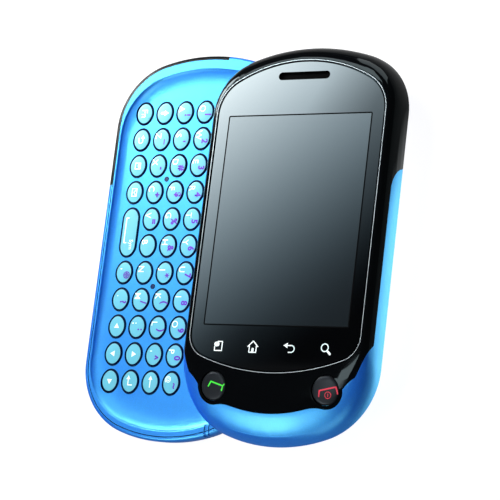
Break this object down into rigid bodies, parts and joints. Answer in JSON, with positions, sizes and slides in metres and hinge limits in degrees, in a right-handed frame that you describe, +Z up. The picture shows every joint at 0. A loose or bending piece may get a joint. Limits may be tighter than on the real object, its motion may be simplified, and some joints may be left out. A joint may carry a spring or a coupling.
{
  "type": "slider phone",
  "caption": "Pocket phone whose touch-screen half slides sideways off a dished base half that carries a keyboard of sprung oval keys.",
  "frame": {"origin": "centre of the base half's flat resting face, phone on its back", "axes": "+Z up out of the screen, +Y towards the top end with the earpiece, +X the way the display half slides open; the rest pose is open"},
  "size_m": [0.0923, 0.109, 0.0168],
  "materials": {
    "blue_shell": "moulded plastic with metallic sky-blue lacquer",
    "black_shell": "dark glossy moulded plastic",
    "piano_black": "high-gloss black",
    "key_turquoise": "pale turquoise, slightly clear, domed caps",
    "round_key_black": "dark grey gloss cap",
    "silicone": "dark silicone",
    "board": "glass-fibre board with metal cans",
    "battery_can": "wrapped flat cell",
    "socket_black": "moulded socket",
    "steel": "stamped sheet steel",
    "bright_ring": "bright plated ring",
    "screen_glass": "clear touch glass with dark border print",
    "panel_black": "unlit display panel"
  },
  "bodies": {
    "base": {"keyboard_frame": "blue_shell", "rear_housing": "black_shell", "key_mat": "silicone", "main_board": "board", "battery": "battery_can", "headset_jack": "socket_black", "slide_plate": "steel"},
    "display_half": {"display_frame": "blue_shell", "front_bezel": "piano_black", "trim_ring": "bright_ring", "touch_glass": "screen_glass", "display_panel": "panel_black", "slide_carriage": "steel"},
    "battery_cover": {"battery_cover": "blue_shell"},
    "volume_key": {"volume_key": "black_shell"},
    "call_key": {"call_key": "round_key_black"},
    "end_key": {"end_key": "round_key_black"},
    "key_a": {"key_a": "key_turquoise"},
    "key_at": {"key_at": "key_turquoise"},
    "key_b": {"key_b": "key_turquoise"},
    "key_back": {"key_back": "key_turquoise"},
    "key_c": {"key_c": "key_turquoise"},
    "key_d": {"key_d": "key_turquoise"},
    "key_delete": {"key_delete": "key_turquoise"},
    "key_down": {"key_down": "key_turquoise"},
    "key_e": {"key_e": "key_turquoise"},
    "key_enter": {"key_enter": "key_turquoise"},
    "key_f": {"key_f": "key_turquoise"},
    "key_fn": {"key_fn": "key_turquoise"},
    "key_g": {"key_g": "key_turquoise"},
    "key_globe": {"key_globe": "key_turquoise"},
    "key_h": {"key_h": "key_turquoise"},
    "key_i": {"key_i": "key_turquoise"},
    "key_j": {"key_j": "key_turquoise"},
    "key_k": {"key_k": "key_turquoise"},
    "key_l": {"key_l": "key_turquoise"},
    "key_left": {"key_left": "key_turquoise"},
    "key_m": {"key_m": "key_turquoise"},
    "key_menu": {"key_menu": "key_turquoise"},
    "key_message": {"key_message": "key_turquoise"},
    "key_n": {"key_n": "key_turquoise"},
    "key_o": {"key_o": "key_turquoise"},
    "key_p": {"key_p": "key_turquoise"},
    "key_period": {"key_period": "key_turquoise"},
    "key_q": {"key_q": "key_turquoise"},
    "key_quote": {"key_quote": "key_turquoise"},
    "key_r": {"key_r": "key_turquoise"},
    "key_right": {"key_right": "key_turquoise"},
    "key_s": {"key_s": "key_turquoise"},
    "key_semicolon": {"key_semicolon": "key_turquoise"},
    "key_shift": {"key_shift": "key_turquoise"},
    "key_space": {"key_space": "key_turquoise"},
    "key_t": {"key_t": "key_turquoise"},
    "key_u": {"key_u": "key_turquoise"},
    "key_up": {"key_up": "key_turquoise"},
    "key_v": {"key_v": "key_turquoise"},
    "key_w": {"key_w": "key_turquoise"},
    "key_x": {"key_x": "key_turquoise"},
    "key_y": {"key_y": "key_turquoise"},
    "key_z": {"key_z": "key_turquoise"}
  },
  "joints": [
    {"name": "a_display_slide", "type": "slide", "parent": "base", "child": "display_half", "axis": [1, 0, 0], "range_m": [-0.0355, 0]},
    {"name": "battery_cover_slide", "type": "slide", "parent": "base", "child": "battery_cover", "axis": [0, -1, 0], "range_m": [0, 0.075]},
    {"name": "volume_rocker", "type": "hinge", "parent": "base", "child": "volume_key", "pos_m": [0.027, 0.029, 0.0039], "axis": [0, 0, 1], "range_deg": [-2, 2], "stiffness_Nm_per_rad": 0.02},
    {"name": "call_key_press", "type": "slide", "parent": "display_half", "child": "call_key", "axis": [0.049, 0.1565, -0.9865], "range_m": [0, 0.0003], "stiffness_N_per_m": 1500, "springref_m": -0.0004},
    {"name": "end_key_press", "type": "slide", "parent": "display_half", "child": "end_key", "axis": [-0.049, 0.1565, -0.9865], "range_m": [0, 0.0003], "stiffness_N_per_m": 1500, "springref_m": -0.0004},
    {"name": "key_a_press", "type": "slide", "parent": "base", "child": "key_a", "axis": [0, 0, -1], "range_m": [0, 0.0003], "stiffness_N_per_m": 1500, "springref_m": -0.0004},
    {"name": "key_at_press", "type": "slide", "parent": "base", "child": "key_at", "axis": [0, 0, -1], "range_m": [0, 0.0003], "stiffness_N_per_m": 1500, "springref_m": -0.0004},
    {"name": "key_b_press", "type": "slide", "parent": "base", "child": "key_b", "axis": [0, 0, -1], "range_m": [0, 0.0003], "stiffness_N_per_m": 1500, "springref_m": -0.0004},
    {"name": "key_back_press", "type": "slide", "parent": "base", "child": "key_back", "axis": [0, 0, -1], "range_m": [0, 0.0003], "stiffness_N_per_m": 1500, "springref_m": -0.0004},
    {"name": "key_c_press", "type": "slide", "parent": "base", "child": "key_c", "axis": [0, 0, -1], "range_m": [0, 0.0003], "stiffness_N_per_m": 1500, "springref_m": -0.0004},
    {"name": "key_d_press", "type": "slide", "parent": "base", "child": "key_d", "axis": [0, 0, -1], "range_m": [0, 0.0003], "stiffness_N_per_m": 1500, "springref_m": -0.0004},
    {"name": "key_delete_press", "type": "slide", "parent": "base", "child": "key_delete", "axis": [0, 0, -1], "range_m": [0, 0.0003], "stiffness_N_per_m": 1500, "springref_m": -0.0004},
    {"name": "key_down_press", "type": "slide", "parent": "base", "child": "key_down", "axis": [0, 0, -1], "range_m": [0, 0.0003], "stiffness_N_per_m": 1500, "springref_m": -0.0004},
    {"name": "key_e_press", "type": "slide", "parent": "base", "child": "key_e", "axis": [0, 0, -1], "range_m": [0, 0.0003], "stiffness_N_per_m": 1500, "springref_m": -0.0004},
    {"name": "key_enter_press", "type": "slide", "parent": "base", "child": "key_enter", "axis": [0, 0, -1], "range_m": [0, 0.0003], "stiffness_N_per_m": 1500, "springref_m": -0.0004},
    {"name": "key_f_press", "type": "slide", "parent": "base", "child": "key_f", "axis": [0, 0, -1], "range_m": [0, 0.0003], "stiffness_N_per_m": 1500, "springref_m": -0.0004},
    {"name": "key_fn_press", "type": "slide", "parent": "base", "child": "key_fn", "axis": [0, 0, -1], "range_m": [0, 0.0003], "stiffness_N_per_m": 1500, "springref_m": -0.0004},
    {"name": "key_g_press", "type": "slide", "parent": "base", "child": "key_g", "axis": [0, 0, -1], "range_m": [0, 0.0003], "stiffness_N_per_m": 1500, "springref_m": -0.0004},
    {"name": "key_globe_press", "type": "slide", "parent": "base", "child": "key_globe", "axis": [0, 0, -1], "range_m": [0, 0.0003], "stiffness_N_per_m": 1500, "springref_m": -0.0004},
    {"name": "key_h_press", "type": "slide", "parent": "base", "child": "key_h", "axis": [0, 0, -1], "range_m": [0, 0.0003], "stiffness_N_per_m": 1500, "springref_m": -0.0004},
    {"name": "key_i_press", "type": "slide", "parent": "base", "child": "key_i", "axis": [0, 0, -1], "range_m": [0, 0.0003], "stiffness_N_per_m": 1500, "springref_m": -0.0004},
    {"name": "key_j_press", "type": "slide", "parent": "base", "child": "key_j", "axis": [0, 0, -1], "range_m": [0, 0.0003], "stiffness_N_per_m": 1500, "springref_m": -0.0004},
    {"name": "key_k_press", "type": "slide", "parent": "base", "child": "key_k", "axis": [0, 0, -1], "range_m": [0, 0.0003], "stiffness_N_per_m": 1500, "springref_m": -0.0004},
    {"name": "key_l_press", "type": "slide", "parent": "base", "child": "key_l", "axis": [0, 0, -1], "range_m": [0, 0.0003], "stiffness_N_per_m": 1500, "springref_m": -0.0004},
    {"name": "key_left_press", "type": "slide", "parent": "base", "child": "key_left", "axis": [0, 0, -1], "range_m": [0, 0.0003], "stiffness_N_per_m": 1500, "springref_m": -0.0004},
    {"name": "key_m_press", "type": "slide", "parent": "base", "child": "key_m", "axis": [0, 0, -1], "range_m": [0, 0.0003], "stiffness_N_per_m": 1500, "springref_m": -0.0004},
    {"name": "key_menu_press", "type": "slide", "parent": "base", "child": "key_menu", "axis": [0, 0, -1], "range_m": [0, 0.0003], "stiffness_N_per_m": 1500, "springref_m": -0.0004},
    {"name": "key_message_press", "type": "slide", "parent": "base", "child": "key_message", "axis": [0, 0, -1], "range_m": [0, 0.0003], "stiffness_N_per_m": 1500, "springref_m": -0.0004},
    {"name": "key_n_press", "type": "slide", "parent": "base", "child": "key_n", "axis": [0, 0, -1], "range_m": [0, 0.0003], "stiffness_N_per_m": 1500, "springref_m": -0.0004},
    {"name": "key_o_press", "type": "slide", "parent": "base", "child": "key_o", "axis": [0, 0, -1], "range_m": [0, 0.0003], "stiffness_N_per_m": 1500, "springref_m": -0.0004},
    {"name": "key_p_press", "type": "slide", "parent": "base", "child": "key_p", "axis": [0, 0, -1], "range_m": [0, 0.0003], "stiffness_N_per_m": 1500, "springref_m": -0.0004},
    {"name": "key_period_press", "type": "slide", "parent": "base", "child": "key_period", "axis": [0, 0, -1], "range_m": [0, 0.0003], "stiffness_N_per_m": 1500, "springref_m": -0.0004},
    {"name": "key_q_press", "type": "slide", "parent": "base", "child": "key_q", "axis": [0, 0, -1], "range_m": [0, 0.0003], "stiffness_N_per_m": 1500, "springref_m": -0.0004},
    {"name": "key_quote_press", "type": "slide", "parent": "base", "child": "key_quote", "axis": [0, 0, -1], "range_m": [0, 0.0003], "stiffness_N_per_m": 1500, "springref_m": -0.0004},
    {"name": "key_r_press", "type": "slide", "parent": "base", "child": "key_r", "axis": [0, 0, -1], "range_m": [0, 0.0003], "stiffness_N_per_m": 1500, "springref_m": -0.0004},
    {"name": "key_right_press", "type": "slide", "parent": "base", "child": "key_right", "axis": [0, 0, -1], "range_m": [0, 0.0003], "stiffness_N_per_m": 1500, "springref_m": -0.0004},
    {"name": "key_s_press", "type": "slide", "parent": "base", "child": "key_s", "axis": [0, 0, -1], "range_m": [0, 0.0003], "stiffness_N_per_m": 1500, "springref_m": -0.0004},
    {"name": "key_semicolon_press", "type": "slide", "parent": "base", "child": "key_semicolon", "axis": [0, 0, -1], "range_m": [0, 0.0003], "stiffness_N_per_m": 1500, "springref_m": -0.0004},
    {"name": "key_shift_press", "type": "slide", "parent": "base", "child": "key_shift", "axis": [0, 0, -1], "range_m": [0, 0.0003], "stiffness_N_per_m": 1500, "springref_m": -0.0004},
    {"name": "key_space_press", "type": "slide", "parent": "base", "child": "key_space", "axis": [0, 0, -1], "range_m": [0, 0.0003], "stiffness_N_per_m": 1500, "springref_m": -0.0004},
    {"name": "key_t_press", "type": "slide", "parent": "base", "child": "key_t", "axis": [0, 0, -1], "range_m": [0, 0.0003], "stiffness_N_per_m": 1500, "springref_m": -0.0004},
    {"name": "key_u_press", "type": "slide", "parent": "base", "child": "key_u", "axis": [0, 0, -1], "range_m": [0, 0.0003], "stiffness_N_per_m": 1500, "springref_m": -0.0004},
    {"name": "key_up_press", "type": "slide", "parent": "base", "child": "key_up", "axis": [0, 0, -1], "range_m": [0, 0.0003], "stiffness_N_per_m": 1500, "springref_m": -0.0004},
    {"name": "key_v_press", "type": "slide", "parent": "base", "child": "key_v", "axis": [0, 0, -1], "range_m": [0, 0.0003], "stiffness_N_per_m": 1500, "springref_m": -0.0004},
    {"name": "key_w_press", "type": "slide", "parent": "base", "child": "key_w", "axis": [0, 0, -1], "range_m": [0, 0.0003], "stiffness_N_per_m": 1500, "springref_m": -0.0004},
    {"name": "key_x_press", "type": "slide", "parent": "base", "child": "key_x", "axis": [0, 0, -1], "range_m": [0, 0.0003], "stiffness_N_per_m": 1500, "springref_m": -0.0004},
    {"name": "key_y_press", "type": "slide", "parent": "base", "child": "key_y", "axis": [0, 0, -1], "range_m": [0, 0.0003], "stiffness_N_per_m": 1500, "springref_m": -0.0004},
    {"name": "key_z_press", "type": "slide", "parent": "base", "child": "key_z", "axis": [0, 0, -1], "range_m": [0, 0.0003], "stiffness_N_per_m": 1500, "springref_m": -0.0004}
  ]
}
